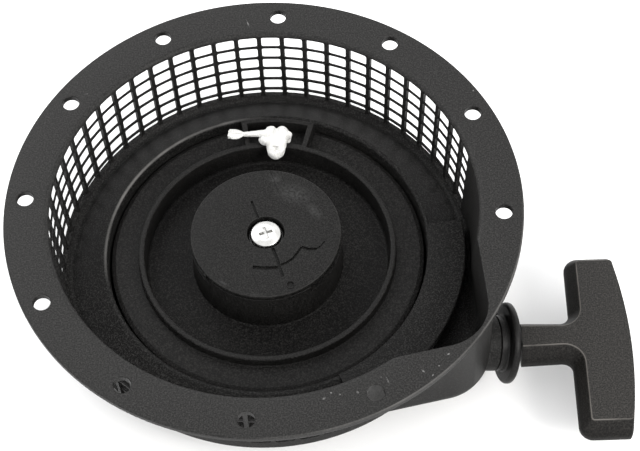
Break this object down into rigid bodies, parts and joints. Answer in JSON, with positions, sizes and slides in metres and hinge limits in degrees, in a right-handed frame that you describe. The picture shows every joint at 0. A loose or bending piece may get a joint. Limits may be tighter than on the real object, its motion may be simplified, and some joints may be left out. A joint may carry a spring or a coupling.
{
  "type": "recoil starter",
  "caption": "Pull-cord recoil starter: a bolted bell housing with an air-intake mesh wall, a sprung rope reel with pawls, a rope guide and a T-handle.",
  "frame": {"origin": "on the reel axis, at the flat underside of the well that the part rests on", "axes": "+Z along the reel axis towards the engine and the flange face, +X along the pull direction"},
  "size_m": [0.3167, 0.26, 0.08],
  "materials": {
    "shell": "black moulded plastic, fine grain",
    "reel": "black moulded plastic, worn satin",
    "plate": "black moulded plastic with scuffs",
    "grip": "black moulded plastic, fine grain",
    "guide": "black moulded plastic, smooth",
    "rope": "braided white nylon",
    "zinc": "bright zinc plate",
    "steel": "plain spring steel",
    "brass": "machined brass"
  },
  "bodies": {
    "housing": {"housing": "shell", "rope_guide": "guide", "post_insert": "brass", "centre_screw": "zinc", "screw_washer": "zinc", "friction_washer": "steel", "friction_spring": "steel", "power_spring": "steel", "rope_run": "rope"},
    "reel": {"reel": "reel", "spring_cover": "steel", "cover_screw_1": "zinc", "cover_screw_2": "zinc", "cover_screw_3": "zinc", "pawl_pin_1": "steel", "pawl_pin_2": "steel", "pawl_spring_1": "steel", "pawl_spring_2": "steel", "rope_winding": "rope", "reel_knot": "rope"},
    "friction_plate": {"friction_plate": "plate"},
    "pawl_1": {"pawl_1": "steel"},
    "pawl_2": {"pawl_2": "steel"},
    "handle": {"handle": "grip", "handle_plug": "grip", "handle_knot": "rope"}
  },
  "joints": [
    {"name": "reel_spin", "type": "hinge", "parent": "housing", "child": "reel", "pos_m": [0, 0, 0.03], "axis": [0, 0, 1], "range_deg": [0, 960], "stiffness_Nm_per_rad": 0.078, "springref_deg": -229.18, "deforming": ["power_spring"]},
    {"name": "handle_pull", "type": "slide", "parent": "housing", "child": "handle", "axis": [1, 0, 0], "range_m": [0, 1.2], "deforming": ["rope_run"]},
    {"name": "plate_turn", "type": "hinge", "parent": "reel", "child": "friction_plate", "pos_m": [0, 0, 0.0515], "axis": [0, 0, -1], "range_deg": [0, 25], "stiffness_Nm_per_rad": 0.004, "springref_deg": -5.73},
    {"name": "pawl_1_swing", "type": "hinge", "parent": "reel", "child": "pawl_1", "pos_m": [-0.027, 0, 0.0485], "axis": [0, 0, -1], "range_deg": [0, 25]},
    {"name": "pawl_2_swing", "type": "hinge", "parent": "reel", "child": "pawl_2", "pos_m": [0.027, 0, 0.0485], "axis": [0, 0, -1], "range_deg": [0, 25]}
  ],
  "couplings": [
    {"joint": "handle_pull", "follows": "reel_spin", "m_per_rad": 0.0712},
    {"joint": "pawl_1_swing", "follows": "plate_turn", "ratio": 1},
    {"joint": "pawl_2_swing", "follows": "plate_turn", "ratio": 1}
  ]
}
